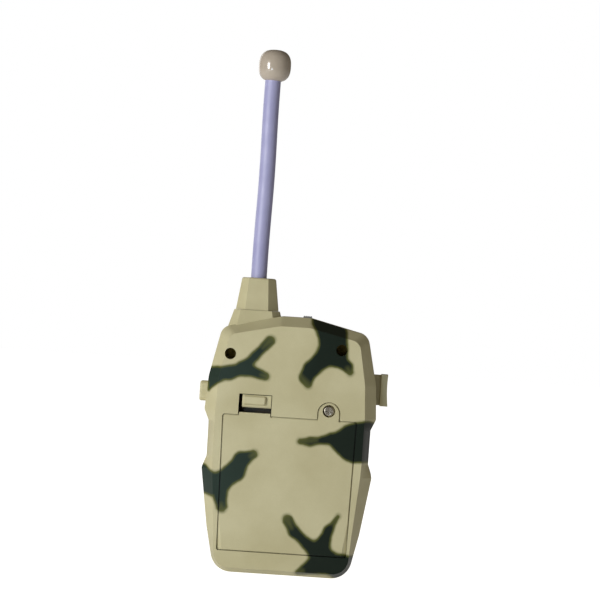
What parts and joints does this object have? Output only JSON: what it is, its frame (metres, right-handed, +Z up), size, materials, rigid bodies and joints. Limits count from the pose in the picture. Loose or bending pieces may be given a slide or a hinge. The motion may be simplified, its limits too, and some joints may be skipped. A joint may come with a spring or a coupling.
{
  "type": "toy walkie talkie",
  "caption": "Hand-held toy two-way radio with faceted camouflage case, whip aerial with ball tip, screw-locked battery door and side buttons.",
  "frame": {"origin": "centre of the flat bottom face that the radio stands on, on the rear shell's part of that face", "axes": "+Z up along the aerial, -Y towards the user (speaker side), +Y the back with the battery door, +X the side with the call button and the aerial"},
  "size_m": [0.0785, 0.034, 0.2173],
  "materials": {
    "camo_abs": "moulded, sprayed camouflage on the outside",
    "cream_abs": "moulded satin",
    "soft_rod": "extruded soft plastic, satin",
    "tip_plastic": "moulded gloss",
    "screw_steel": "zinc plated",
    "spring_steel": "nickel plated wire and strip",
    "copper": "enamelled copper",
    "board_laminate": "paper laminate with solder mask",
    "black_plastic": "moulded matt",
    "white_plastic": "moulded satin",
    "resistor_body": "lacquered",
    "ceramic": "dipped ceramic",
    "can_metal": "drawn can",
    "cell_wrap": "printed steel can with plastic wrap",
    "magnet": "ferrite with plated back plate",
    "frame_steel": "pressed and plated",
    "paper_cone": "pressed paper",
    "cloth": "thin felt",
    "lamp_red": "clear red epoxy"
  },
  "bodies": {
    "housing": {"rear_shell": "camo_abs", "front_shell": "camo_abs", "antenna_collar": "cream_abs", "antenna_rod": "soft_rod", "antenna_tip": "tip_plastic", "antenna_wire": "spring_steel", "loading_coil": "copper", "case_screws": "screw_steel", "talk_switch_body": "black_plastic", "talk_spring": "spring_steel", "call_switch_body": "black_plastic", "call_spring": "spring_steel", "power_switch_body": "frame_steel", "circuit_board": "board_laminate", "board_screws": "screw_steel", "electrolytic_capacitors": "black_plastic", "disc_capacitors": "ceramic", "resistors": "resistor_body", "transistors": "black_plastic", "audio_chip": "black_plastic", "coil_can": "can_metal", "crystal_can": "can_metal", "status_led": "lamp_red", "speaker_frame": "frame_steel", "speaker_cone": "paper_cone", "speaker_dust_cap": "paper_cone", "speaker_magnet": "magnet", "speaker_screws": "screw_steel", "grille_cloth": "cloth", "battery_cell_1": "cell_wrap", "battery_cell_2": "cell_wrap", "battery_cell_3": "cell_wrap", "spring_contacts": "spring_steel", "plate_contacts": "spring_steel"},
    "battery_door": {"battery_door": "camo_abs"},
    "battery_door_latch": {"battery_door_latch": "cream_abs"},
    "screw_ring": {"screw_retaining_ring": "white_plastic"},
    "door_screw": {"door_screw": "screw_steel"},
    "talk_button": {"talk_button": "cream_abs", "talk_switch_slider": "white_plastic"},
    "call_button": {"call_button": "cream_abs"},
    "power_knob": {"power_switch_knob": "black_plastic"}
  },
  "joints": [
    {"name": "door_tilt", "type": "hinge", "parent": "housing", "child": "battery_door", "pos_m": [0, 0.017, 0.00945], "axis": [-1, 0, 0], "range_deg": [0, 75]},
    {"name": "latch_flex", "type": "hinge", "parent": "battery_door", "child": "battery_door_latch", "pos_m": [0.01395, 0.0096, 0.069], "axis": [-1, 0, 0], "range_deg": [0, 12], "stiffness_Nm_per_rad": 0.1, "springref_deg": -2.86},
    {"name": "door_screw_backout", "type": "slide", "parent": "battery_door", "child": "screw_ring", "axis": [0, 1, 0], "range_m": [0, 0.0024]},
    {"name": "door_screw_spin", "type": "hinge", "parent": "screw_ring", "child": "door_screw", "pos_m": [-0.0159, 0.0152, 0.06905], "axis": [0, 1, 0], "range_deg": [0, 1081]},
    {"name": "talk_press", "type": "slide", "parent": "housing", "child": "talk_button", "axis": [1, 0, 0], "range_m": [0, 0.0025], "stiffness_N_per_m": 500, "springref_m": -0.003, "deforming": ["talk_spring"]},
    {"name": "call_press", "type": "slide", "parent": "housing", "child": "call_button", "axis": [-1, 0, 0], "range_m": [0, 0.0012], "stiffness_N_per_m": 600, "springref_m": -0.002, "deforming": ["call_spring"]},
    {"name": "power_slide", "type": "slide", "parent": "housing", "child": "power_knob", "axis": [1, 0, 0], "range_m": [0, 0.0026]}
  ],
  "couplings": [
    {"joint": "door_screw_spin", "follows": "door_screw_backout", "rad_per_m": 7854}
  ]
}
